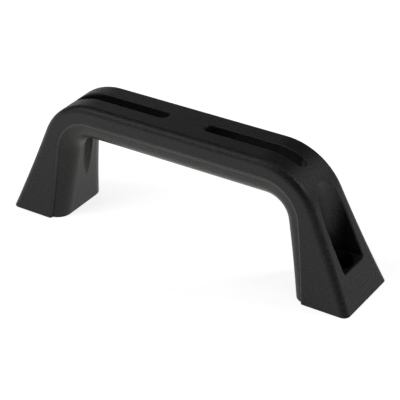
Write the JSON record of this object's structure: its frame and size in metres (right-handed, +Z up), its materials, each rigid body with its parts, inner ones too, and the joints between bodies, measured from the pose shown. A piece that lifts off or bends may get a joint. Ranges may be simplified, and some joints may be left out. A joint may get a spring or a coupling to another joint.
{
  "type": "bridge pull handle",
  "caption": "Moulded bridge handle: slotted flat-topped grip, legs spreading to feet, screw pockets open upwards and outwards.",
  "frame": {"origin": "midway between the two feet, on the mounting surface", "axes": "+X along the grip, +Y across it, +Z up from the mounting surface to the grip"},
  "size_m": [0.1448, 0.0288, 0.0494],
  "materials": {
    "black_plastic": "fine matt grain on a black glass-filled plastic, a little smoother on the leg sides"
  },
  "bodies": {
    "root": {"handle": "black_plastic"}
  },
  "joints": []
}
